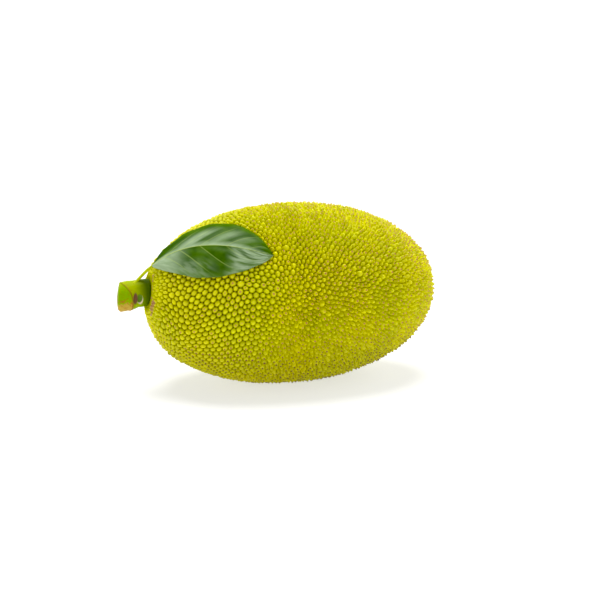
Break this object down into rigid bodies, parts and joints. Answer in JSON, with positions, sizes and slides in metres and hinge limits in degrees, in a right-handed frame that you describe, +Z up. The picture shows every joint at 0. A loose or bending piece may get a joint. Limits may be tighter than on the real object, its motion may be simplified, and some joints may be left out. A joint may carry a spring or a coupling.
{
  "type": "jackfruit",
  "caption": "Whole jackfruit lying on its side, an oval fruit with a spiky yellow-green rind, a short thick cut stem and a glossy leaf over its shoulder.",
  "frame": {"origin": "middle of the small flat spot that the fruit rests on, under its widest section", "axes": "+X along the fruit's long axis from the stem end to the far end, +Z up from the surface it rests on"},
  "size_m": [0.3264, 0.18, 0.1775],
  "materials": {
    "rind": "satin",
    "stem": "satin",
    "leaf_stalk": "satin",
    "leaf_blade": "gloss"
  },
  "bodies": {
    "root": {"fruit": "rind", "stem": "stem", "leaf_stalk": "leaf_stalk", "leaf_blade": "leaf_blade"}
  },
  "joints": []
}
